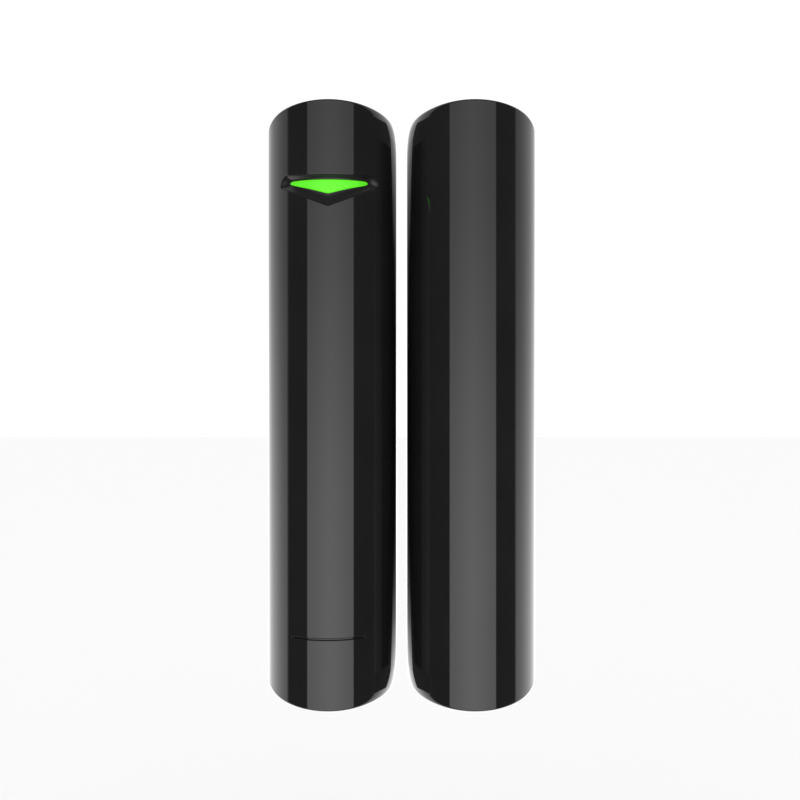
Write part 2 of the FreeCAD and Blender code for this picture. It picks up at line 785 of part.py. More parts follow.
def reed_switch():
    """Sealed glass capsule with two springy blades; the lower one moves about its seal bead."""
    x, depth = dim.reed_x, dim.reed_depth
    glass = column("reed_outside", x, depth, dim.reed_radius, (dim.reed_low, dim.reed_high))
    bore = column("reed_bore", x, depth, dim.reed_bore_radius,
                  (dim.reed_low + dim.reed_end, dim.reed_high - dim.reed_end))
    near, far = depth - dim.blade_half_width, depth + dim.blade_half_width
    upper_x = (x + dim.blade_gap / 2, x + dim.blade_gap / 2 + dim.blade_thickness)
    lower_x = (x - dim.blade_gap / 2 - dim.blade_thickness, x - dim.blade_gap / 2)
    gap = dim.blade_clearance
    middle = (dim.reed_low + dim.reed_high) / 2
    lower_way = block("lower_blade_way", (lower_x[0] - gap, lower_x[1] + gap), (near - gap, far + gap),
                      (dim.reed_low, middle))
    upper_way = block("upper_blade_way", upper_x, (near, far), (middle, dim.reed_high))
    keep(cut("reed_glass", glass, [bore, lower_way, upper_way]))
    strip = block("lower_strip", lower_x, (near, far), (dim.lower_blade_end, dim.lower_blade_tip))
    bead = rod("seal_bead", (lower_x[0] + lower_x[1]) / 2, dim.reed_low + dim.reed_end / 2,
               dim.seal_bead_radius, (near, far))
    keep(fuse("reed_blade_lower", [strip, bead]))
    keep(block("reed_blade_upper", upper_x, (near, far), (dim.upper_blade_tip, dim.upper_blade_end)))


def switch_body(label, x, z):
    """Square switch housing on the back of the board with a round chamber and a lipped mouth."""
    top, half = dim.board_back - dim.switch_height, dim.switch_side / 2
    housing = centred_block(f"{label}_housing", x, z, half, half, (top, dim.board_back))
    mouth = rod(f"{label}_mouth", x, z, dim.button_radius + dim.button_clearance,
                (top, dim.board_back - dim.switch_lip))
    chamber = rod(f"{label}_chamber", x, z, dim.switch_chamber_radius,
                  (top + dim.switch_lip, dim.switch_chamber_floor))
    keep(cut(label, housing, [mouth, chamber]))


def push_button(label, x, z, tip_depth, flange_depth):
    """Round button with a flange that the lip of its switch body holds in."""
    end = flange_depth + dim.flange_thickness
    stem = rod(f"{label}_stem", x, z, dim.button_radius, (tip_depth, end))
    flange = rod(f"{label}_flange", x, z, dim.flange_radius, (flange_depth, end))
    keep(fuse(label, [stem, flange]))


def switches():
    switch_body("tamper_switch_body", dim.tamper_x, dim.tamper_z)
    push_button("tamper_button", dim.tamper_x, dim.tamper_z, dim.tamper_tip_depth, dim.tamper_flange_depth)
    switch_body("power_switch_body", ZERO, dim.power_z)
    push_button("power_button", ZERO, dim.power_z, dim.power_tip_depth, dim.power_flange_depth)
    spring_end = dim.tamper_flange_depth + dim.flange_thickness + dim.tamper_spring_wire
    length = dim.switch_chamber_floor - dim.tamper_spring_wire - spring_end
    spring = coil("tamper_spring", dim.tamper_spring_radius, dim.tamper_spring_wire,
                  dim.tamper_spring_pitch, length)
    spring.Placement = FreeCAD.Placement(FreeCAD.Vector(), FreeCAD.Rotation(FreeCAD.Vector(1, 0, 0), 90))
    for axis, place in zip("xyz", (dim.tamper_x, -spring_end, dim.tamper_z)):
        spring.setExpression(f"Placement.Base.{axis}", place.formula)
    keep(spring)


def terminal_screw(name, x):
    z = dim.terminal_screw_z
    head = rod(f"{name}_head", x, z, dim.screw_head_radius, (dim.screw_head_depth, dim.screw_neck_depth))
    shank = rod(f"{name}_shank", x, z, dim.screw_shank_radius, (dim.screw_head_depth, dim.screw_tip_depth))
    slot = centred_block(f"{name}_slot", x, z, dim.screw_head_radius, dim.driver_slot / 2,
                         (dim.screw_head_depth, dim.screw_head_depth + dim.driver_slot))
    keep(cut(name, fuse(f"{name}_solid", [head, shank]), [slot]))


def terminal_cage(name, x):
    """Rising cage: a square ring that the screw pulls up against the wire."""
    z = dim.terminal_screw_z
    top, bottom = dim.cage_top_depth, dim.cage_bottom_depth
    width, length = dim.cage_half_width, dim.cage_half_length
    outside = centred_block(f"{name}_outside", x, z, width, length, (top, bottom))
    opening = centred_block(f"{name}_opening", x, z, width - dim.cage_wall, length * 2,
                            (top + dim.cage_plate, bottom - dim.cage_wall))
    bore = rod(f"{name}_bore", x, z, dim.cage_bore_radius, (top, top + dim.cage_plate))
    keep(cut(name, outside, [opening, bore]))


def terminal_block():
    """Two-way housing for an external sensor's wires, with its screws and cages."""
    face = dim.terminal_face_depth
    housing = block("terminal_housing", (-dim.terminal_half_width, dim.terminal_half_width),
                    (face, dim.board_back), (dim.terminal_low, dim.terminal_high))
    hollows = []
    for side, name in ((-1, "left"), (1, "right")):
        x = dim.terminal_pitch / 2 * side
        hollows.append(block(f"chamber_{name}", (x - dim.chamber_half_width, x + dim.chamber_half_width),
                             (dim.chamber_depth, dim.chamber_floor_depth),
                             (dim.chamber_low, dim.terminal_high)))
        hollows.append(rod(f"shaft_{name}", x, dim.terminal_screw_z, dim.screw_shaft_radius,
                           (face, dim.chamber_depth)))
        terminal_screw(f"terminal_screw_{name}", x)
        terminal_cage(f"terminal_cage_{name}", x)
    keep(cut("terminal_block", housing, hollows))


# Battery

def battery():
    """Lithium cell with its printed-sleeve film left plain."""
    x, depth = ZERO, dim.axis_depth
    can_top = dim.cell_high - dim.nub_height
    can_radius = dim.cell_radius - dim.sleeve_thickness
    can = column("cell_can", x, depth, can_radius, (dim.cell_low, can_top))
    nub = column("cell_nub", x, depth, dim.nub_radius, (can_top - dim.nub_height, dim.cell_high))
    keep(fuse("battery_cell", [can, nub]))
    film = (dim.cell_low + dim.sleeve_thickness, can_top - dim.sleeve_thickness)
    outside = column("sleeve_outside", x, depth, dim.cell_radius, film)
    inside = column("sleeve_inside", x, depth, can_radius, film)
    keep(cut("battery_sleeve", outside, [inside]))


def battery_cradle():
    """Two end walls joined by rails in the casing's back corners."""
    body = new_body("battery_cradle")
    solid = new_sketch(body, "XY_Plane", dim.cradle_low)
    add_d_profile(solid, dim.cradle_radius, dim.cradle_back)
    add_feature(body, "Pad", solid, dim.cradle_high - dim.cradle_low)
    floor = dim.cradle_low + dim.cradle_wall
    room = dim.cradle_high - dim.cradle_low - dim.cradle_wall * 2
    bore = new_sketch(body, "XY_Plane", floor)
    add_circle(bore, ZERO, -dim.axis_depth, dim.cradle_radius)
    add_feature(body, "Pocket", bore, room, outwards=True)
    back = new_sketch(body, "XY_Plane", floor)
    rail = dim.cradle_rail_inner
    add_rectangle(back, -rail, rail, -dim.axis_depth, dim.trim_margin - dim.cradle_back)
    add_feature(body, "Pocket", back, room, outwards=True)
    ways = new_sketch(body, "XY_Plane", dim.cradle_high)
    board_front = dim.board_back + dim.board_thickness
    gap = dim.slot_gap
    leaf_end = board_front + dim.leaf_thickness + gap
    strip_side = dim.strip_thickness + gap * 2 - rail
    add_rectangle(ways, -dim.tab_way, dim.tab_way, -leaf_end, gap - board_front)
    add_rectangle(ways, -rail, strip_side, -dim.strip_far - gap, gap - dim.strip_near)
    add_feature(body, "Pocket", ways, dim.cradle_wall + gap)


def battery_contacts():
    """Positive leaf above the cell, and a coil spring with its foot and riser strip below it."""
    board_front = dim.board_back + dim.board_thickness
    leaf_low = dim.cell_high + dim.fit_gap
    leaf_high = leaf_low + dim.leaf_thickness
    half = dim.tab_way - dim.slot_gap
    leaf = block("leaf_plate", (-dim.nub_radius, dim.nub_radius), (board_front, dim.leaf_far),
                 (leaf_low, leaf_high))
    tab = block("leaf_tab", (-half, half), (board_front, board_front + dim.leaf_thickness),
                (leaf_low, dim.wire_low))
    keep(fuse("battery_contact_positive", [leaf, tab]))

    spring = coil("contact_spring", dim.spring_radius, dim.spring_wire, dim.spring_pitch, dim.spring_height)
    for axis, place in zip("xyz", (ZERO, -dim.axis_depth, dim.spring_low)):
        spring.setExpression(f"Placement.Base.{axis}", place.formula)
    floor = dim.cradle_low + dim.cradle_wall
    foot_top = floor + dim.strip_thickness
    strip_x = (dim.fit_gap - dim.cradle_rail_inner, dim.fit_gap + dim.strip_thickness - dim.cradle_rail_inner)
    reach = dim.spring_radius + dim.spring_wire
    foot = block("strip_foot", (-reach, reach), (dim.axis_depth - reach, dim.axis_depth + reach),
                 (floor, foot_top))
    link = block("strip_link", (strip_x[0], ZERO), (dim.strip_near, dim.board_back), (floor, foot_top))
    riser = block("strip_riser", strip_x, (dim.strip_near, dim.strip_far), (floor, dim.wire_low))
    solder_tab = block("strip_tab", strip_x, (dim.strip_near, dim.board_back), (dim.board_low, dim.wire_low))
    keep(fuse("battery_contact_negative", [spring, foot, link, riser, solder_tab]))


def blank_label():
    face = dim.shell_back + dim.label_recess
    half = dim.label_half_width
    keep(block("blank_label", (-half, half), (face - dim.label_thickness, face),
               (dim.label_low, dim.label_high)))


# Magnet unit

def magnet_tray():
    """Open tray behind the cover; its snap lips keep the bar magnet in."""
    body = new_body("magnet_tray")
    outside = new_sketch(body, "XZ_Plane", dim.tray_back)
    width, half = dim.tray_half_width, dim.tray_half_height
    add_rectangle(outside, -width, width, -half, half)
    add_feature(body, "Pad", outside, dim.tray_front - dim.tray_back)
    depths = ((dim.tray_floor, dim.tray_lip_depth, ZERO), (dim.tray_lip_depth, dim.tray_front, dim.tray_lip))
    for near, far, lip in depths:
        hollow = new_sketch(body, "XZ_Plane", near)
        x = dim.magnet_half_width + dim.tray_gap - lip
        z = dim.magnet_half_height + dim.tray_gap
        add_rectangle(hollow, -x, x, -z, z)
        add_feature(body, "Pocket", hollow, far - near, outwards=True)
    place_beside(body)


def bar_magnet():
    x, half = dim.unit_pitch, dim.magnet_half_width
    keep(block("bar_magnet", (x - half, x + half), (dim.magnet_back, dim.magnet_front),
               (-dim.magnet_half_height, dim.magnet_half_height)))


def magnet_unit():
    place_beside(front_shell("magnet_front_shell"))
    place_beside(back_cover("magnet_back_cover"))
    place_beside(mounting_panel("magnet_mounting_panel"))
    adhesive_pads("magnet_adhesive_pads", dim.unit_pitch)
    magnet_tray()
    bar_magnet()


def build():
    detector_front_shell()
    detector_back_cover()
    detector_mounting_panel()
    adhesive_pads("detector_adhesive_pads", ZERO)
    indicator_bezel()
    light_guide()
    circuit_board()
    board_screws()
    board_components()
    helical_antenna()
    reed_switch()
    switches()
    terminal_block()
    battery()
    battery_cradle()
    battery_contacts()
    blank_label()
    magnet_unit()
    doc.recompute()


def export():
    """Checks every object of the document, then writes one STEP file for each sub-part."""
    failed = [item.Label for item in doc.Objects if {"Invalid", "Error"} & set(item.State)]
    if failed:
        raise ValueError(f"failed objects: {failed}")
    for part in sub_parts:
        if part.Shape.isNull() or not part.Shape.isValid():
            raise ValueError(f"bad shape: {part.Label}")
    os.makedirs("parts", exist_ok=True)
    for part in sub_parts:
        part.Shape.exportStep(f"parts/{part.Label}.step")
        print(f"{part.Label}: {len(part.Shape.Solids)} solid(s), {part.Shape.Volume:.2f} mm3")


build()
export()
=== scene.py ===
import json
import math

import bmesh
import bpy
import numpy as np
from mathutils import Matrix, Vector


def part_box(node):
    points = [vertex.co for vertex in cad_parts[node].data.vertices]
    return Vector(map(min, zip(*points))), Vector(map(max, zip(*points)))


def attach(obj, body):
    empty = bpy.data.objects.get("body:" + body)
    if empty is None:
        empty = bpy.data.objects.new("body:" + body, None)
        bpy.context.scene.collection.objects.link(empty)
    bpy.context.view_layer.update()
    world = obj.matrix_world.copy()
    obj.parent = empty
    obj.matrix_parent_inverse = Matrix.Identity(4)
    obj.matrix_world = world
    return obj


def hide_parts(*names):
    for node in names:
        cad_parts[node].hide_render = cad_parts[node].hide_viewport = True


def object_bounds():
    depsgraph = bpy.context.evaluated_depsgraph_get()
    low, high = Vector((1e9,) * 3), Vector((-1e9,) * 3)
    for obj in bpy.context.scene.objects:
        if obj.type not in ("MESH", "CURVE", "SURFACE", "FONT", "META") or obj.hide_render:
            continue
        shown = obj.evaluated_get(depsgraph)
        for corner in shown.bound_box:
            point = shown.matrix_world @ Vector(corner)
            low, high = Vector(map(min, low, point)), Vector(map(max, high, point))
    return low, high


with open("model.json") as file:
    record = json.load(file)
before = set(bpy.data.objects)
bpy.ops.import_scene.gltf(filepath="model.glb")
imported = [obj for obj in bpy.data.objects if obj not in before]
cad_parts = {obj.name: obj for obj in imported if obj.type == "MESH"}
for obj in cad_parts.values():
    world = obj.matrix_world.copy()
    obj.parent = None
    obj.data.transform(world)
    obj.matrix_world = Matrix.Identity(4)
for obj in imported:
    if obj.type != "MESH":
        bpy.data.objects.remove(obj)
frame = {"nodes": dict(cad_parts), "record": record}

# Door contact sensor: two half-round glossy casings on wall panels. Lengths are in metres; MM turns
# millimetres into them. X is to the right, Y towards the wall and Z up.

MM = 0.001
cad_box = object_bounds()
nodes = frame["nodes"]

# The casings' form, read from the frame

SHELL_LOW, SHELL_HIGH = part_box("detector_front_shell")
MAGNET_LOW, MAGNET_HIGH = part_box("magnet_front_shell")
RADIUS = (SHELL_HIGH.x - SHELL_LOW.x) / 2
AXIS_Y = SHELL_LOW.y + RADIUS
BACK_Y = SHELL_HIGH.y
HALF_HEIGHT = (SHELL_HIGH.z - SHELL_LOW.z) / 2
DETECTOR_X = (SHELL_LOW.x + SHELL_HIGH.x) / 2
MAGNET_X = (MAGNET_LOW.x + MAGNET_HIGH.x) / 2
WALL = 1.1 * MM
CAP_INSIDE = 2.4 * MM
CROWN = 1.5 * MM / RADIUS ** 2
RIM_FRONT = 0.25 * MM
RIM_OUTER_SIDE = 1.3 * MM
RIM_INNER_IN = 0.8 * MM
RIM_INNER_UP = 4.5 * MM

# Grid of the casings: columns round the half cylinder and rows up it

FINE_ANGLES = np.arange(-54.0, 55.0, 1.0)
WIDE_ANGLES = np.arange(56.0, 91.0, 2.0)
SIDE_COLUMNS = 8
FILLET_STEPS = 12
CAP_STEPS = 10
PATCH_RINGS = (0.8, 0.55, 0.33, 0.15)
MARK_RADIUS = 0.17 * MM
LENS_GRID = (56, 14)
DISH_RINGS = 8
MARK_ROWS = np.linspace(-36.6, -32.2, 9) * MM
WINDOW_ROWS = np.linspace(28.0, 35.2, 15) * MM
PLAIN_ROWS = [np.linspace(-38.7, -37.7, 2) * MM, np.linspace(-30.0, 26.0, 15) * MM,
              np.linspace(36.4, 38.7, 3) * MM]
WINDOW_HALF_ANGLE = 52
MARK_HALF_ANGLE = 42
MERGE_DISTANCE = 0.002 * MM
SMOOTH_ANGLE = 38.0
LENS_SMOOTH_ANGLE = 50.0

# Window and lens, in millimetres: a shallow V below, a bowed edge on top, and ends that are cubic curves

WINDOW_OUTLINE = {
    "half": 7.9, "tip": 29.32, "slope": 0.4, "round_tip": 0.25, "flatten": -0.001,
    "end": ((8.6, 32.8), (7.9, 33.75)), "top_half": 6.9, "top": 33.9, "top_lift": 0.25,
}
LENS_OUTLINE = {
    "half": 6.4, "tip": 31.33, "slope": 0.262, "round_tip": 0.2, "flatten": 0.002,
    "end": ((6.75, 32.95), (6.65, 33.28)), "top_half": 6.05, "top": 33.27, "top_lift": 0.05,
}
WINDOW_LIP = 0.08 * MM

# Debossed bar: the groove is in (offset, depth) steps, in units of the bar's radius

MARK_HALF = 5.6 * MM
MARK_HEIGHT = -34.4 * MM
MARK_GROOVE = ((0.25, 0.0), (0.08, 0.06), (-0.08, 0.3), (-0.25, 0.85), (-0.5, 1.25), (-1.0, 1.4))

# Surround and lens, in millimetres: offsets from their outlines and depths under the surface

SURROUND_OUT = -0.03
SURROUND_LIP = (-0.05, 0.14)
SURROUND_EDGE_DEPTH = 0.16
DISH_OUT = -0.09
DISH_END_OUT = 0.11
DISH_DEPTH = 0.46
DISH_CURVE = 1.6
DISH_FOOT = (0.08, 0.68)
FLANGE_OUT = 0.9
FLANGE_DEPTHS = (1.15, 1.7)
LENS_FRONT = (-0.16, 0.5)
LENS_SWELL = 0.03
LENS_RINGS = ((-0.09, 0.51), (-0.04, 0.55), (0.0, 0.63), (0.01, 0.75), (0.01, 1.4))

# Stem of the light guide, in millimetres, and its section as shares of its half width and half height

STEM_HALF = 1.2
STEM_START_DEPTH = 1.2
STEM_LOW, STEM_HIGH = 31.6, 33.0
STEM_SECTION = ((-1, -0.8), (-0.85, -1), (0.85, -1), (1, -0.8), (1, 0.8), (0.85, 1), (-0.85, 1), (-1, 0.8))


# Outlines, as (arc length, height) points round the half cylinder

def bezier(p0, p1, p2, p3, k):
    """Point at k on a cubic curve given in millimetres, returned in metres."""
    weights = ((1 - k) ** 3, 3 * k * (1 - k) ** 2, 3 * k * k * (1 - k), k ** 3)
    return tuple(MM * sum(w * p[axis] for w, p in zip(weights, (p0, p1, p2, p3))) for axis in (0, 1))


def vee_side(half, tip, slope, round_tip, flatten, k):
    """Lower edge of a shallow V, from left to right."""
    s = half * (2 * k - 1)
    z = tip + slope * (math.hypot(s, round_tip) - round_tip) - flatten * s * s
    return s * MM, z * MM


def vee_loop(across, up, half, tip, slope, round_tip, flatten, end, top_half, top, top_lift):
    """Counter-clockwise V outline with as many points a side as its block of the grid has."""
    bottom = [vee_side(half, tip, slope, round_tip, flatten, k / across) for k in range(across)]
    low = vee_side(half, tip, slope, round_tip, flatten, 1)
    start = (low[0] / MM, low[1] / MM)
    corner = (top_half, top + top_lift)
    right = [bezier(start, *end, corner, k / up) for k in range(up)]
    places = [1 - 2 * k / across for k in range(across)]
    upper = [(top_half * place * MM, (top + top_lift * place * place) * MM) for place in places]
    left = [(-x, z) for x, z in [bezier(start, *end, corner, 1 - k / up) for k in range(up)]]
    return np.array(bottom + right + upper + left)


def window_loop(across, up):
    return vee_loop(across, up, **WINDOW_OUTLINE)


def lens_loop(across, up):
    return vee_loop(across, up, **LENS_OUTLINE)


def mark_loop(across, up):
    """Plain bar with round ends."""
    bottom = [(MARK_HALF * (2 * k / across - 1), MARK_HEIGHT - MARK_RADIUS) for k in range(across)]
    turns = [math.pi * (k / up - 0.5) for k in range(up)]
    right = [(MARK_HALF + MARK_RADIUS * math.cos(a), MARK_HEIGHT + MARK_RADIUS * math.sin(a)) for a in turns]
    return np.array(bottom + right + [(-s, 2 * MARK_HEIGHT - z) for s, z in bottom + right])


def offset_loop(loop, distance):
    """Moves a counter-clockwise loop outwards by a distance."""
    tangent = np.roll(loop, -1, axis=0) - np.roll(loop, 1, axis=0)
    tangent /= np.linalg.norm(tangent, axis=1)[:, None]
    return loop + distance * np.column_stack((tangent[:, 1], -tangent[:, 0]))


def wrap(centre_x, s, z, depth):
    """Point under the half cylinder's surface at an arc length, a height and a depth."""
    angle = s / RADIUS
    reach = RADIUS - depth
    return Vector((centre_x + reach * math.sin(angle), AXIS_Y - reach * math.cos(angle), z))


# Meshes

def make_object(bm, name):
    """Turns a bmesh into an object of the scene."""
    mesh = bpy.data.meshes.new(name)
    bm.to_mesh(mesh)
    bm.free()
    made = bpy.data.objects.new(name, mesh)
    bpy.context.scene.collection.objects.link(made)
    return made


def finish_mesh(bm, name, body, material, smooth_angle=SMOOTH_ANGLE):
    """Makes a piece of a bmesh, with the normals that its vertices carry wherever they carry one."""
    bmesh.ops.remove_doubles(bm, verts=bm.verts, dist=MERGE_DISTANCE)
    bmesh.ops.recalc_face_normals(bm, faces=bm.faces)
    normal_layer = bm.verts.layers.float_vector.get("skin_normal")
    skin_layer = bm.faces.layers.int.get("skin")
    known = [vert[normal_layer].copy() for vert in bm.verts] if normal_layer else []
    on_skin = [face[skin_layer] for face in bm.faces] if skin_layer else []
    piece = make_object(bm, name)
    mesh = piece.data
    for polygon in mesh.polygons:
        polygon.use_smooth = True
    mesh.set_sharp_from_angle(angle=math.radians(smooth_angle))
    if known:
        corners = [Vector(corner.vector) for corner in mesh.corner_normals]
        for polygon in mesh.polygons:
            for loop in polygon.loop_indices:
                normal = known[mesh.loops[loop].vertex_index]
                if on_skin[polygon.index] and normal.length > 0.5:
                    corners[loop] = normal
        mesh.normals_split_custom_set(corners)
        for attribute in ("skin_normal", "skin"):
            mesh.attributes.remove(mesh.attributes[attribute])
    mesh.materials.append(material)
    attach(piece, body)
    return piece


def stitch(bm, first, second, skin=0, closed=True):
    """Quads between two rings, or two open rows, of the same number of vertices."""
    layer = bm.faces.layers.int.get("skin")
    count = len(first)
    for k in range(count if closed else count - 1):
        after = (k + 1) % count
        corners = [first[k], first[after], second[after], second[k]]
        unique = list(dict.fromkeys(corners))
        if len(unique) > 2:
            face = bm.faces.new(unique)
            if layer:
                face[layer] = skin


class Skin:
    """Outer or inner skin of a casing: a grid of columns round the profile and rows from cap to cap."""

    def __init__(self, bm, centre_x, inset, crowned, inner_side=1):
        self.bm = bm
        self.inner_side = inner_side
        self.centre_x = centre_x
        self.inset = inset
        self.crowned = crowned
        self.normals = bm.verts.layers.float_vector.get("skin_normal")
        self.faces = bm.faces.layers.int.get("skin")
        self.profile = self.columns()
        self.levels = np.concatenate((PLAIN_ROWS[0], MARK_ROWS, PLAIN_ROWS[1], WINDOW_ROWS, PLAIN_ROWS[2]))
        self.rows = self.build_rows()

    def columns(self):
        """(x, y, normal x, normal y, angle or None) of each column on the outer profile."""
        angles = np.concatenate((-WIDE_ANGLES[::-1], FINE_ANGLES, WIDE_ANGLES))
        side = np.linspace(BACK_Y, AXIS_Y, SIDE_COLUMNS + 1)[:-1]
        left = [(-RADIUS, y, -1.0, 0.0, None) for y in side]
        front = []
        for angle in angles:
            sine, cosine = math.sin(math.radians(angle)), math.cos(math.radians(angle))
            front.append((RADIUS * sine, AXIS_Y - RADIUS * cosine, sine, -cosine, float(angle)))
        right = [(RADIUS, y, 1.0, 0.0, None) for y in side[::-1]]
        return left + front + right

    def vert(self, x, y, z, normal):
        vert = self.bm.verts.new((self.centre_x + x, y, z))
        vert[self.normals] = Vector(normal).normalized() if self.crowned else (0, 0, 0)
        return vert

    def cap_height(self, x):
        return HALF_HEIGHT - CROWN * x * x if self.crowned else HALF_HEIGHT - CAP_INSIDE

    def rim_size(self, nx):
        """How far the rim of a cap reaches inwards and down: little in front and more at the sides."""
        if not self.crowned:
            return RIM_FRONT, RIM_FRONT
        if nx * self.inner_side > 0:
            return (RIM_FRONT + (RIM_INNER_IN - RIM_FRONT) * abs(nx) ** 3,
                    RIM_FRONT + (RIM_INNER_UP - RIM_FRONT) * nx ** 4)
        size = RIM_FRONT + (RIM_OUTER_SIDE - RIM_FRONT) * nx ** 6
        return size, size

    def end_rows(self, side):
        """Rows from the wall over the rim to the middle of one cap, as lists of vertices."""
        turns = np.linspace(0, math.pi / 2, FILLET_STEPS + 1)
        shares = np.linspace(0, 1, CAP_STEPS + 1)[1:]
        places = np.zeros((len(turns) + len(shares), len(self.profile), 3))
        for c, (x, y, nx, ny, _) in enumerate(self.profile):
            inward, down = self.rim_size(nx)
            reach = RADIUS - self.inset
            depths = self.inset + np.append(inward * (1 - np.cos(turns)), inward + (reach - inward) * shares)
            drops = np.append(down * (1 - np.sin(turns)), 0 * shares)
            heights = self.cap_height(x - depths * nx) - drops
            places[:, c] = np.column_stack((x - depths * nx, y - depths * ny, side * heights))
        normals = side * np.cross(np.gradient(places, axis=1), np.gradient(places, axis=0))
        rows = []
        for r, row in enumerate(places):
            rows.append([])
            for c, place in enumerate(row):
                if r == 0:
                    normals[r, c] = (*self.profile[c][2:4], 0)
                if r >= FILLET_STEPS:
                    normals[r, c] = (2 * CROWN * place[0], 0, side)
                rows[r].append(self.vert(*place, normals[r, c]))
        return rows

    def build_rows(self):
        """All rows, from the middle of the lower cap to the middle of the upper one."""
        bottom = self.end_rows(-1)[::-1]
        middle = []
        for z in self.levels:
            middle.append([self.vert(x - self.inset * nx, y - self.inset * ny, z, (nx, ny, 0))
                           for x, y, nx, ny, _ in self.profile])
        self.first_level = len(bottom)
        return bottom + middle + self.end_rows(1)

    def block(self, half_angle, levels):
        """Columns and rows of the block that a patch replaces."""
        angles = [column[4] for column in self.profile]
        left = next(k for k, angle in enumerate(angles) if angle is not None and angle > -half_angle - 0.5)
        right = max(k for k, angle in enumerate(angles) if angle is not None and angle < half_angle + 0.5)
        low = self.first_level + int(np.argmin(abs(self.levels - levels[0])))
        high = self.first_level + int(np.argmin(abs(self.levels - levels[-1])))
        return left, right, low, high

    def fill(self, blocks):
        """Quads all over the grid, except inside the blocks."""
        for r in range(len(self.rows) - 1):
            for c in range(len(self.profile) - 1):
                if any(left <= c < right and low <= r < high for left, right, low, high in blocks):
                    continue
                quad = [self.rows[r][c], self.rows[r][c + 1], self.rows[r + 1][c + 1], self.rows[r + 1][c]]
                self.bm.faces.new(quad)[self.faces] = 1 if self.crowned else 0

    def patch(self, block, outline, profile):
        """Fills a block down to an outline, then follows the profile's (offset, depth) rings into it.

        Returns the last ring."""
        left, right, low, high = block
        across, up = right - left, high - low
        places = [(low, left + k) for k in range(across)] + [(low + k, right) for k in range(up)]
        places += [(high, right - k) for k in range(across)] + [(high - k, left) for k in range(up)]
        ring = [self.rows[r][c] for r, c in places]
        edge = np.array([(math.radians(self.profile[c][4]) * RADIUS, self.rows[r][c].co.z)
                         for r, c in places])
        loop = outline(across, up)
        lip = offset_loop(loop, profile[0][0])
        steps = [(lip + (edge - lip) * weight, self.inset, True) for weight in PATCH_RINGS]
        steps += [(offset_loop(loop, out), self.inset + depth, k == 0)
                  for k, (out, depth) in enumerate(profile)]
        for points, depth, on_surface in steps:
            following = []
            for s, z in points:
                vert = self.bm.verts.new(wrap(self.centre_x, s, z, depth))
                angle = s / RADIUS
                flat = on_surface and self.crowned
                vert[self.normals] = (math.sin(angle), -math.cos(angle), 0) if flat else (0, 0, 0)
                following.append(vert)
            stitch(self.bm, ring, following, skin=1 if on_surface and self.crowned else 0)
            ring = following
        return ring


def quarter_round(radius, steps=4):
    """(offset, depth) rings of a rounded lip that turns from the surface straight down."""
    turns = [math.pi / 2 * k / steps for k in range(steps + 1)]
    return [(radius * (1 - math.sin(turn)), radius * (1 - math.cos(turn))) for turn in turns]


def front_casing(name, centre_x, inner_side, body, node, material, with_window):
    """Hollow casing: outer skin, inner skin, the back edge between them and the window's sides."""
    bm = bmesh.new()
    bm.verts.layers.float_vector.new("skin_normal")
    bm.faces.layers.int.new("skin")
    outer = Skin(bm, centre_x, 0.0, True, inner_side)
    inner = Skin(bm, centre_x, WALL, False)
    outer_blocks, inner_blocks = [], []
    if with_window:
        outer_blocks = [outer.block(WINDOW_HALF_ANGLE, WINDOW_ROWS), outer.block(MARK_HALF_ANGLE, MARK_ROWS)]
        inner_blocks = [inner.block(WINDOW_HALF_ANGLE, WINDOW_ROWS)]
        hole = outer.patch(outer_blocks[0], window_loop, quarter_round(WINDOW_LIP) + [(0.0, 0.5 * WALL)])
        inside = inner.patch(inner_blocks[0], window_loop, [(0.0, 0.0)])
        stitch(bm, hole, inside)
        groove = [(out * MARK_RADIUS, depth * MARK_RADIUS) for out, depth in MARK_GROOVE]
        outer.patch(outer_blocks[1], mark_loop, groove)
    outer.fill(outer_blocks)
    inner.fill(inner_blocks)
    for column in (0, -1):
        stitch(bm, [row[column] for row in outer.rows], [row[column] for row in inner.rows], closed=False)
    casing = finish_mesh(bm, name, body, material)
    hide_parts(node)


def ring_at(bm, loop, out, depth):
    """Ring of vertices outside a loop on the detector, under its surface; both distances in millimetres."""
    return [bm.verts.new(wrap(DETECTOR_X, s, z, depth * MM)) for s, z in offset_loop(loop, out * MM)]


def indicator_surround(name, body, material):
    """Closed ring: a dish that slopes from the window's edge to the lens, with a flange behind the wall."""
    bm = bmesh.new()
    window, lens = window_loop(*LENS_GRID), lens_loop(*LENS_GRID)
    flange_front, flange_back = FLANGE_DEPTHS
    rings = [ring_at(bm, window, FLANGE_OUT, flange_back), ring_at(bm, window, FLANGE_OUT, flange_front),
             ring_at(bm, window, SURROUND_OUT, flange_front),
             ring_at(bm, window, SURROUND_OUT, SURROUND_EDGE_DEPTH), ring_at(bm, window, *SURROUND_LIP)]
    dish_edge, dish_end = offset_loop(window, DISH_OUT * MM), offset_loop(lens, DISH_END_OUT * MM)
    for k in range(DISH_RINGS + 1):
        share = k / DISH_RINGS
        depth = SURROUND_EDGE_DEPTH + DISH_DEPTH * (1 - (1 - share) ** DISH_CURVE)
        rings.append([bm.verts.new(wrap(DETECTOR_X, s, z, depth * MM))
                      for s, z in dish_edge * (1 - share) + dish_end * share])
    rings += [ring_at(bm, lens, *DISH_FOOT), ring_at(bm, lens, DISH_FOOT[0], flange_back)]
    for first, second in zip(rings, rings[1:] + rings[:1]):
        stitch(bm, first, second)
    surround = finish_mesh(bm, name, body, material)
    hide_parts("indicator_bezel")


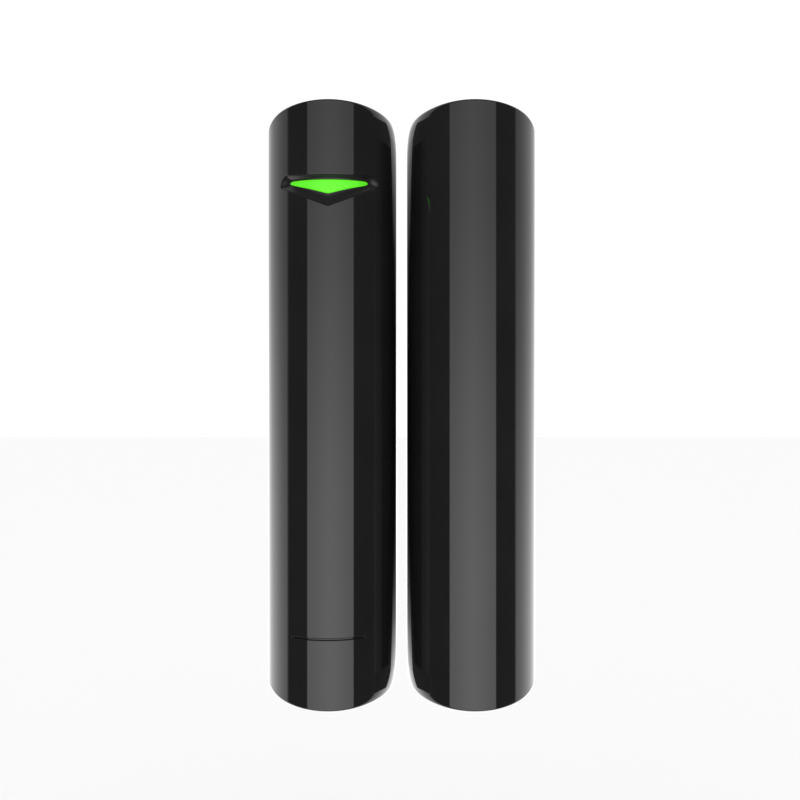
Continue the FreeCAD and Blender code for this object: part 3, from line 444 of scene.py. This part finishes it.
def patch_grid(loop, across, up):
    """Points that fill a four-sided loop smoothly, as rows from its bottom side to its top side."""
    closed = np.vstack((loop, loop[:1]))
    bottom, right = closed[:across + 1], closed[across:across + up + 1]
    top, left = closed[across + up:2 * across + up + 1][::-1], closed[2 * across + up:][::-1]
    grid = np.zeros((up + 1, across + 1, 2))
    for j in range(up + 1):
        for k in range(across + 1):
            u, v = k / across, j / up
            corners = ((1 - u) * (1 - v) * bottom[0] + u * (1 - v) * bottom[-1] +
                       (1 - u) * v * top[0] + u * v * top[-1])
            grid[j, k] = (1 - v) * bottom[k] + v * top[k] + (1 - u) * left[j] + u * right[j] - corners
    return grid


def fill_loop(bm, loop, across, up, depth, swell):
    """Fills a loop on the detector with a grid whose middle stands proud by the swell.

    Returns its border as a ring."""
    grid = patch_grid(loop, across, up)
    verts = []
    for j in range(up + 1):
        row = []
        for k in range(across + 1):
            rise = swell * (1 - (2 * j / up - 1) ** 2) * (1 - (2 * k / across - 1) ** 4)
            row.append(bm.verts.new(wrap(DETECTOR_X, *grid[j, k], depth - rise)))
        verts.append(row)
    for j in range(up):
        for k in range(across):
            bm.faces.new((verts[j][k], verts[j][k + 1], verts[j + 1][k + 1], verts[j + 1][k]))
    border = verts[0][:-1] + [row[-1] for row in verts[:-1]] + verts[-1][:0:-1]
    return border + [row[0] for row in verts[:0:-1]]


def indicator_lens(name, body, material):
    """Light guide: a V-shaped lens with a rounded rim and a stem back to the lamp."""
    bm = bmesh.new()
    across, up = LENS_GRID
    loop = lens_loop(across, up)
    out, depth = LENS_FRONT
    ring = fill_loop(bm, offset_loop(loop, out * MM), across, up, depth * MM, LENS_SWELL * MM)
    for out, depth in LENS_RINGS:
        following = ring_at(bm, loop, out, depth)
        stitch(bm, ring, following)
        ring = following
    back = fill_loop(bm, offset_loop(loop, out * MM), across, up, depth * MM, 0.0)
    stitch(bm, ring, back)
    _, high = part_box("light_guide")
    stem_front = AXIS_Y - RADIUS + STEM_START_DEPTH * MM
    middle, tall = (STEM_LOW + STEM_HIGH) / 2 * MM, (STEM_HIGH - STEM_LOW) / 2 * MM
    ends = [[bm.verts.new((DETECTOR_X + STEM_HALF * MM * x, y, middle + tall * z)) for x, z in STEM_SECTION]
            for y in (stem_front, high.y)]
    stitch(bm, *ends)
    for end in ends:
        bm.faces.new(end)
    lens = finish_mesh(bm, name, body, material, LENS_SMOOTH_ANGLE)
    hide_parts("light_guide")


# Materials: sizes of clouds and marks are in features per metre

PLASTIC_CLOUDS = 120.0
PLASTIC_IOR = 1.5
METAL_CLOUDS = 300.0
METAL_DARKEST = 0.88
METAL_BUMP = 0.001 * MM
TOOL_MARKS = 2500.0
GUIDE_CLOUDS = 900.0
GUIDE_CLOUD_REACH = 0.4 * MM
GUIDE_FADE = (0.5 * MM, 6.2 * MM)
GUIDE_GREENS = ((0.0, (0.15, 0.97, 0.03)), (0.62, (0.125, 0.9, 0.022)), (1.0, (0.085, 0.66, 0.01)))
GUIDE_STRENGTH = 0.95
TRACK_SCALE = 260.0
TRACK_BUMP = 0.02 * MM
GLASS_IOR = 1.5


def new_material(name):
    material = bpy.data.materials.new(name)
    material.use_nodes = True
    tree = material.node_tree
    shader = tree.nodes["Principled BSDF"]
    return material, tree, shader


def add_node(tree, kind, **settings):
    """New node with some of its properties set."""
    node = tree.nodes.new(kind)
    for name, value in settings.items():
        setattr(node, name, value)
    return node


def noise(tree, scale, detail=2.0):
    """Noise in object space; scale is in features per metre."""
    place = add_node(tree, "ShaderNodeTexCoord")
    texture = add_node(tree, "ShaderNodeTexNoise")
    texture.inputs["Scale"].default_value = scale
    texture.inputs["Detail"].default_value = detail
    tree.links.new(place.outputs["Object"], texture.inputs["Vector"])
    return texture.outputs["Fac"]


def remap(tree, value, low, high, start=0.3, end=0.7):
    """Value between low and high, as the input goes from start to end; noise mostly spans 0.3 to 0.7."""
    node = add_node(tree, "ShaderNodeMapRange")
    node.inputs["From Min"].default_value = start
    node.inputs["From Max"].default_value = end
    node.inputs["To Min"].default_value = low
    node.inputs["To Max"].default_value = high
    tree.links.new(value, node.inputs["Value"])
    return node.outputs["Result"]


def add_bump(tree, shader, height, distance):
    bump = add_node(tree, "ShaderNodeBump")
    bump.inputs["Distance"].default_value = distance
    tree.links.new(height, bump.inputs["Height"])
    tree.links.new(bump.outputs["Normal"], shader.inputs["Normal"])


def colour_ramp(tree, value, stops, socket, interpolation="LINEAR"):
    """Feeds a socket with the colour that a value picks between (position, colour) stops."""
    ramp = add_node(tree, "ShaderNodeValToRGB")
    ramp.color_ramp.interpolation = interpolation
    elements = ramp.color_ramp.elements
    while len(elements) < len(stops):
        elements.new(0.5)
    for element, (position, colour) in zip(elements, stops):
        element.position, element.color = position, (*colour, 1)
    tree.links.new(value, ramp.inputs["Fac"])
    tree.links.new(ramp.outputs["Color"], socket)


def vary_colour(tree, shader, value, dark, light):
    colour_ramp(tree, value, ((0.3, dark), (0.7, light)), shader.inputs["Base Color"])


def moulded_plastic(name, colour, roughness, grain, bump, spread=0.12, roughness_spread=0.05, specular=0.5):
    """Moulded plastic with a fine grain: grain is its size and bump its depth, in metres."""
    material, tree, shader = new_material(name)
    broad = noise(tree, PLASTIC_CLOUDS, 3.0)
    fine = noise(tree, 1 / grain)
    vary_colour(tree, shader, broad, [c * (1 - spread) for c in colour], [c * (1 + spread) for c in colour])
    tree.links.new(remap(tree, fine, roughness - roughness_spread, roughness + roughness_spread),
                   shader.inputs["Roughness"])
    shader.inputs["IOR"].default_value = PLASTIC_IOR
    shader.inputs["Specular IOR Level"].default_value = specular
    add_bump(tree, shader, fine, bump)
    return material


def plated_metal(name, colour, roughness, brushed=(1, 1, 1)):
    """Metal with fine tool marks: brushed stretches them along an axis."""
    material, tree, shader = new_material(name)
    place = add_node(tree, "ShaderNodeTexCoord")
    stretch = add_node(tree, "ShaderNodeMapping")
    stretch.inputs["Scale"].default_value = brushed
    marks = add_node(tree, "ShaderNodeTexNoise")
    marks.inputs["Scale"].default_value = TOOL_MARKS
    marks.inputs["Detail"].default_value = 4.0
    tree.links.new(place.outputs["Object"], stretch.inputs["Vector"])
    tree.links.new(stretch.outputs["Vector"], marks.inputs["Vector"])
    fine = marks.outputs["Fac"]
    vary_colour(tree, shader, noise(tree, METAL_CLOUDS, 3.0), [c * METAL_DARKEST for c in colour], colour)
    tree.links.new(remap(tree, fine, roughness * 0.7, roughness * 1.3), shader.inputs["Roughness"])
    shader.inputs["Metallic"].default_value = 1.0
    add_bump(tree, shader, fine, METAL_BUMP)
    return material


def lit_guide(name):
    """Clear green moulding, lit from behind: even in the middle and dimmer towards its two ends."""
    material, tree, shader = new_material(name)
    place = add_node(tree, "ShaderNodeTexCoord")
    split = add_node(tree, "ShaderNodeSeparateXYZ")
    tree.links.new(place.outputs["Object"], split.inputs[0])
    away = add_node(tree, "ShaderNodeMath", operation="ABSOLUTE")
    tree.links.new(split.outputs["X"], away.inputs[0])
    cloud = remap(tree, noise(tree, GUIDE_CLOUDS), -GUIDE_CLOUD_REACH, GUIDE_CLOUD_REACH)
    total = add_node(tree, "ShaderNodeMath", operation="ADD")
    tree.links.new(away.outputs[0], total.inputs[0])
    tree.links.new(cloud, total.inputs[1])
    share = remap(tree, total.outputs[0], 0.0, 1.0, *GUIDE_FADE)
    colour_ramp(tree, share, GUIDE_GREENS, shader.inputs["Emission Color"], "EASE")
    shader.inputs["Emission Strength"].default_value = GUIDE_STRENGTH
    shader.inputs["Base Color"].default_value = (0.01, 0.06, 0.005, 1)
    shader.inputs["Specular IOR Level"].default_value = 0.25
    tree.links.new(remap(tree, noise(tree, 4000.0), 0.3, 0.42), shader.inputs["Roughness"])
    return material


def solder_mask(name):
    """Green board: slightly paler where the copper runs under the mask."""
    material, tree, shader = new_material(name)
    place = add_node(tree, "ShaderNodeTexCoord")
    turn = add_node(tree, "ShaderNodeMapping")
    turn.inputs["Rotation"].default_value = (math.radians(90), 0, 0)
    tracks = add_node(tree, "ShaderNodeTexBrick")
    tracks.inputs["Scale"].default_value = TRACK_SCALE
    tracks.inputs["Color1"].default_value = (0.012, 0.085, 0.035, 1)
    tracks.inputs["Color2"].default_value = (0.016, 0.11, 0.045, 1)
    tracks.inputs["Mortar"].default_value = (0.03, 0.19, 0.075, 1)
    tree.links.new(place.outputs["Object"], turn.inputs["Vector"])
    tree.links.new(turn.outputs["Vector"], tracks.inputs["Vector"])
    tree.links.new(tracks.outputs["Color"], shader.inputs["Base Color"])
    tree.links.new(remap(tree, noise(tree, 1500.0), 0.25, 0.4), shader.inputs["Roughness"])
    add_bump(tree, shader, tracks.outputs["Fac"], TRACK_BUMP)
    return material


def clear_glass(name, colour):
    material, tree, shader = new_material(name)
    shader.inputs["Transmission Weight"].default_value = 1.0
    shader.inputs["IOR"].default_value = GLASS_IOR
    vary_colour(tree, shader, noise(tree, 500.0), [c * 0.92 for c in colour], colour)
    tree.links.new(remap(tree, noise(tree, 2000.0), 0.01, 0.06), shader.inputs["Roughness"])
    return material


def make_finishes():
    """A procedural material for each material slot of the record."""
    plastic, metal = moulded_plastic, plated_metal
    return {
        "casing": plastic("casing_black", (0.0092, 0.009, 0.0093), 0.05, 0.4 * MM, 0.0002 * MM,
                          roughness_spread=0.012),
        "back_plastic": plastic("back_black", (0.017, 0.017, 0.018), 0.5, 0.18 * MM, 0.012 * MM),
        "panel_plastic": plastic("panel_grey", (0.026, 0.026, 0.0275), 0.46, 0.22 * MM, 0.014 * MM),
        "bezel": plastic("bezel_grey", (0.0105, 0.009, 0.0105), 0.24, 0.15 * MM, 0.001 * MM, specular=0.45),
        "lens": lit_guide("lens_green"),
        "lamp": plastic("lamp_yellow", (0.75, 0.62, 0.2), 0.2, 0.3 * MM, 0.001 * MM),
        "board": solder_mask("board_green"),
        "steel": metal("screw_steel", (0.55, 0.55, 0.56), 0.3),
        "shield": metal("shield_tin", (0.6, 0.6, 0.61), 0.28, (1, 1, 12)),
        "chip": plastic("chip_epoxy", (0.014, 0.014, 0.015), 0.55, 0.08 * MM, 0.003 * MM),
        "ceramic_parts": plastic("ceramic_tan", (0.42, 0.3, 0.18), 0.45, 0.1 * MM, 0.002 * MM),
        "antenna_wire": metal("antenna_copper", (0.72, 0.4, 0.2), 0.25, (10, 10, 1)),
        "reed_glass": clear_glass("reed_glass_green", (0.8, 0.95, 0.86)),
        "blade": metal("blade_nickel", (0.62, 0.6, 0.55), 0.22, (8, 8, 1)),
        "cell_can": metal("cell_nickel", (0.62, 0.62, 0.63), 0.24, (1, 1, 10)),
        "sleeve": plastic("sleeve_blue", (0.02, 0.05, 0.16), 0.22, 0.6 * MM, 0.004 * MM),
        "contact": metal("contact_nickel", (0.64, 0.63, 0.58), 0.26, (1, 8, 1)),
        "cradle": plastic("cradle_grey", (0.03, 0.03, 0.032), 0.45, 0.2 * MM, 0.008 * MM),
        "switch": plastic("switch_grey", (0.035, 0.035, 0.036), 0.4, 0.15 * MM, 0.004 * MM),
        "button": plastic("button_white", (0.5, 0.5, 0.48), 0.35, 0.2 * MM, 0.003 * MM),
        "terminal": plastic("terminal_green", (0.012, 0.16, 0.045), 0.38, 0.2 * MM, 0.004 * MM),
        "cage": metal("cage_brass", (0.75, 0.58, 0.3), 0.3),
        "label": plastic("label_paper", (0.74, 0.74, 0.71), 0.75, 0.12 * MM, 0.004 * MM, spread=0.05),
        "foam_tape": plastic("foam_tape_grey", (0.5, 0.5, 0.49), 0.85, 0.35 * MM, 0.06 * MM, spread=0.06),
        "magnet": metal("magnet_nickel", (0.6, 0.6, 0.62), 0.18, (1, 1, 6)),
    }


# World: each ramp is (from, to, level at from, level at to). EDGE, FALLOFF and BACK go by the angle from
# straight ahead, in degrees, and the others by how far up a direction points, from -1 to 1

FRONT_EDGE = (40.4, 42.0, 1.0, 0.0)
FRONT_FALLOFF = (0.0, 43.0, 1.04, 0.78)
FRONT_UP = (-0.2, 0.33, 2.4, 1.15)
FRONT_TOP = (0.36, 0.5, 1.0, 0.06)
FRONT_FOOT = (-0.75, -0.45, 0.3, 1.0)
AROUND_EDGE = (79.0, 86.0, 0.0, 1.0)
AROUND_BACK = (85.0, 118.0, 1.0, 1.4)
AROUND_UP = (-0.25, 0.25, 1.55, 0.72)
OVERHEAD_UP = (0.8, 0.95, 0.0, 1.0)
OVERHEAD_LEVEL = 0.35
DARK_LEVEL = 0.1
WHITE_LEVEL = 1.05

# Floor

FLOOR_SIZE = 3.0
FLOOR_DROP = 60 * MM
FLOOR_GREY = 0.92
FLOOR_ROUGHNESS = 0.9

# Card in the gap, in millimetres: (height, y of its front edge from the casings' axis), the levels up it
# from -CARD_GLOW_HALF to CARD_GLOW_HALF, and the corners (y, height) of the dim flag at each end

CARD_EDGE = ((-44, -3.0), (-40, -2.3), (-35, -1.8), (-29, -1.3), (-24, -0.5), (-15, 0.5), (-8, 0.9),
             (8, 0.9), (15, 0.5), (24, -0.5), (29, -1.3), (35, -1.8), (40, -2.3), (44, -3.0))
CARD_BACK_GAP = 0.5
CARD_GLOW_HALF = 42
CARD_LEVELS = ((0.0, 0.9), (0.05, 0.4), (0.1, 0.16), (0.16, 0.06), (0.25, 0.02), (0.4, 0.008), (0.62, 0.008),
               (0.78, 0.025), (0.88, 0.08), (0.95, 0.18), (1.0, 0.36))
CARD_STRENGTH = 2.5
FLAG_CORNERS = ((-2.4, 39.8), (-8.2, 41.4), (-8.2, 44.3), (-3.0, 44.3))

# Camera: focal length and shifts in pixels of the photograph

CAMERA_DISTANCE = 140 * MM
IMAGE_WIDTH = 800
FOCAL_PIXELS = 954.4
SHIFT_PIXELS = (-1.65, 5.25)
SENSOR_WIDTH = 36.0
CLIP_RANGE = (0.001, 20.0)


def build_world():
    """Studio panels by direction: one in front, dark gaps beside it, and white all round the back.

    Only reflections see them: the camera and diffuse light see plain white."""
    world = bpy.data.worlds.new("studio")
    bpy.context.scene.world = world
    world.use_nodes = True
    tree = world.node_tree
    tree.nodes.clear()
    link = tree.links.new

    def maths(operation, *values):
        node = add_node(tree, "ShaderNodeMath", operation=operation)
        for socket, value in zip(node.inputs, values):
            if isinstance(value, (int, float)):
                socket.default_value = value
            else:
                link(value, socket)
        return node.outputs[0]

    def ramp(value, start, end, low, high):
        node = add_node(tree, "ShaderNodeMapRange", interpolation_type="SMOOTHSTEP")
        for name, number in (("From Min", start), ("From Max", end), ("To Min", low), ("To Max", high)):
            node.inputs[name].default_value = number
        link(value, node.inputs["Value"])
        return node.outputs["Result"]

    place = add_node(tree, "ShaderNodeTexCoord")
    split = add_node(tree, "ShaderNodeSeparateXYZ")
    link(place.outputs["Generated"], split.inputs[0])
    x, y, up = split.outputs
    azimuth = maths("MULTIPLY", maths("ARCTAN2", x, maths("MULTIPLY", y, -1.0)), 180 / math.pi)
    away = maths("ABSOLUTE", azimuth)
    front_light = maths("MULTIPLY", ramp(away, *FRONT_EDGE), ramp(away, *FRONT_FALLOFF))
    for shape in (FRONT_UP, FRONT_TOP, FRONT_FOOT):
        front_light = maths("MULTIPLY", front_light, ramp(up, *shape))
    around = maths("MULTIPLY", ramp(away, *AROUND_EDGE), ramp(away, *AROUND_BACK))
    around = maths("MULTIPLY", around, ramp(up, *AROUND_UP))
    total = maths("ADD", maths("ADD", front_light, around), DARK_LEVEL)
    total = maths("MAXIMUM", total, maths("MULTIPLY", ramp(up, *OVERHEAD_UP), OVERHEAD_LEVEL))
    background = add_node(tree, "ShaderNodeBackground")
    link(total, background.inputs["Strength"])
    white = add_node(tree, "ShaderNodeBackground")
    white.inputs["Strength"].default_value = WHITE_LEVEL
    white.inputs["Color"].default_value = (1, 1, 1, 1)
    background.inputs["Color"].default_value = (1, 1, 1, 1)
    seen = add_node(tree, "ShaderNodeLightPath")
    mix = add_node(tree, "ShaderNodeMixShader")
    link(maths("MAXIMUM", seen.outputs["Is Camera Ray"], seen.outputs["Is Diffuse Ray"]), mix.inputs[0])
    link(background.outputs[0], mix.inputs[1])
    link(white.outputs[0], mix.inputs[2])
    output = add_node(tree, "ShaderNodeOutputWorld")
    link(mix.outputs[0], output.inputs[0])


def build_floor():
    centre = (cad_box[0] + cad_box[1]) / 2
    height = cad_box[0].z - FLOOR_DROP
    bm = bmesh.new()
    bm.faces.new([bm.verts.new((centre.x + x * FLOOR_SIZE, centre.y + y * FLOOR_SIZE, height))
                  for x, y in ((-1, -1), (1, -1), (1, 1), (-1, 1))])
    floor = make_object(bm, "floor")
    material, _, shader = new_material("floor_pale")
    shader.inputs["Base Color"].default_value = (FLOOR_GREY, FLOOR_GREY, FLOOR_GREY, 1)
    shader.inputs["Roughness"].default_value = FLOOR_ROUGHNESS
    floor.data.materials.append(material)
    floor.visible_glossy = False


def glowing_black(name, strength):
    """Black that reflects nothing and gives off white light."""
    material, tree, shader = new_material(name)
    shader.inputs["Base Color"].default_value = (0, 0, 0, 1)
    shader.inputs["Specular IOR Level"].default_value = 0.0
    shader.inputs["Emission Color"].default_value = (1, 1, 1, 1)
    shader.inputs["Emission Strength"].default_value = strength
    return material, tree, shader


def build_gap_card():
    """Reflector card in the gap between the units: only reflections in their inner edges show it."""
    gap_x = (SHELL_HIGH.x + MAGNET_LOW.x) / 2
    bm = bmesh.new()
    front = [bm.verts.new((gap_x, AXIS_Y + y * MM, z * MM)) for z, y in CARD_EDGE]
    back = [bm.verts.new((gap_x, BACK_Y - CARD_BACK_GAP * MM, z * MM)) for z, _ in CARD_EDGE]
    stitch(bm, front, back, closed=False)
    for side in (-1, 1):
        flag = [bm.verts.new((gap_x, AXIS_Y + y * MM, side * z * MM)) for y, z in FLAG_CORNERS]
        bm.faces.new(flag).material_index = 1
    card = make_object(bm, "gap_card")
    light, tree, shader = glowing_black("gap_card_light", CARD_STRENGTH)
    place = add_node(tree, "ShaderNodeTexCoord")
    split = add_node(tree, "ShaderNodeSeparateXYZ")
    tree.links.new(place.outputs["Object"], split.inputs[0])
    height = remap(tree, split.outputs["Z"], 0.0, 1.0, -CARD_GLOW_HALF * MM, CARD_GLOW_HALF * MM)
    stops = [(position, (level, level, level)) for position, level in CARD_LEVELS]
    colour_ramp(tree, height, stops, shader.inputs["Emission Color"])
    card.data.materials.append(light)
    card.data.materials.append(glowing_black("gap_flag_dim", DARK_LEVEL)[0])
    card.visible_camera = card.visible_diffuse = card.visible_transmission = card.visible_shadow = False


def build_camera():
    """Level camera in front of the gap, at mid-height, with the photograph's framing."""
    data = bpy.data.cameras.new("camera")
    camera = bpy.data.objects.new("camera", data)
    bpy.context.scene.collection.objects.link(camera)
    data.sensor_width = SENSOR_WIDTH
    data.lens = FOCAL_PIXELS / IMAGE_WIDTH * SENSOR_WIDTH
    data.shift_x, data.shift_y = (shift / IMAGE_WIDTH for shift in SHIFT_PIXELS)
    data.clip_start, data.clip_end = CLIP_RANGE
    centre = (cad_box[0] + cad_box[1]) / 2
    camera.location = (centre.x, cad_box[0].y - CAMERA_DISTANCE, centre.z)
    camera.rotation_euler = (math.radians(90), 0, 0)
    bpy.context.scene.camera = camera


bpy.context.scene.view_settings.view_transform = "Standard"
build_world()
build_floor()
build_gap_card()
build_camera()

finishes = make_finishes()
for sub_part in frame["record"]["subparts"]:
    mesh = nodes[sub_part["node"]].data
    mesh.materials.clear()
    mesh.materials.append(finishes[sub_part["material_slot"]])

front_casing("detector_casing", DETECTOR_X, 1, "detector_unit", "detector_front_shell",
             finishes["casing"], with_window=True)
front_casing("magnet_casing", MAGNET_X, -1, "magnet_unit", "magnet_front_shell",
             finishes["casing"], with_window=False)
indicator_surround("indicator_surround", "detector_unit", finishes["bezel"])
indicator_lens("indicator_lens", "detector_unit", finishes["lens"])
